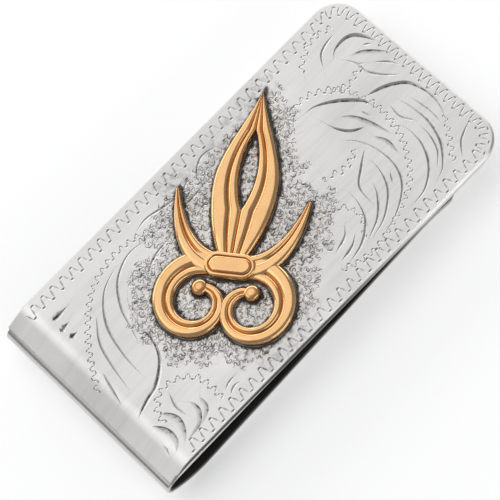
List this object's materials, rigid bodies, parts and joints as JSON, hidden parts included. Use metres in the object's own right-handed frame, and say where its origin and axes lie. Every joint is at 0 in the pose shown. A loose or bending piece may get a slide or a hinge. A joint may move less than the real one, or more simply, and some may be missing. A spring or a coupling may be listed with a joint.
{
  "type": "money clip",
  "caption": "Folded sprung-strip money clip with an engraved face plate, rounded free corners, a raised gilt scroll ornament and a flared back leg.",
  "frame": {"origin": "under the middle of the clip's outline, at the level of the belly it rests on", "axes": "+X along the clip from the fold to the open end, +Y across its width, +Z out of the engraved face"},
  "size_m": [0.0508, 0.0254, 0.0058],
  "materials": {
    "nickel_silver": "satin polish with bright-cut engraving",
    "gilt": "polished rose-gold colour",
    "solder": "dull grey silver solder"
  },
  "bodies": {
    "front": {"face_plate": "nickel_silver", "face_solder": "solder", "spring_front_leg": "nickel_silver", "spring_bend": "nickel_silver", "scroll_ornament": "gilt", "ornament_solder": "solder"},
    "leg": {"spring_back_leg": "nickel_silver"}
  },
  "joints": [
    {"name": "leg_flex", "type": "hinge", "parent": "front", "child": "leg", "pos_m": [-0.02259, 0, 0.002], "axis": [0, 1, 0], "range_deg": [0, 8], "stiffness_Nm_per_rad": 1.7, "springref_deg": -3.44, "deforming": ["spring_bend"]}
  ]
}
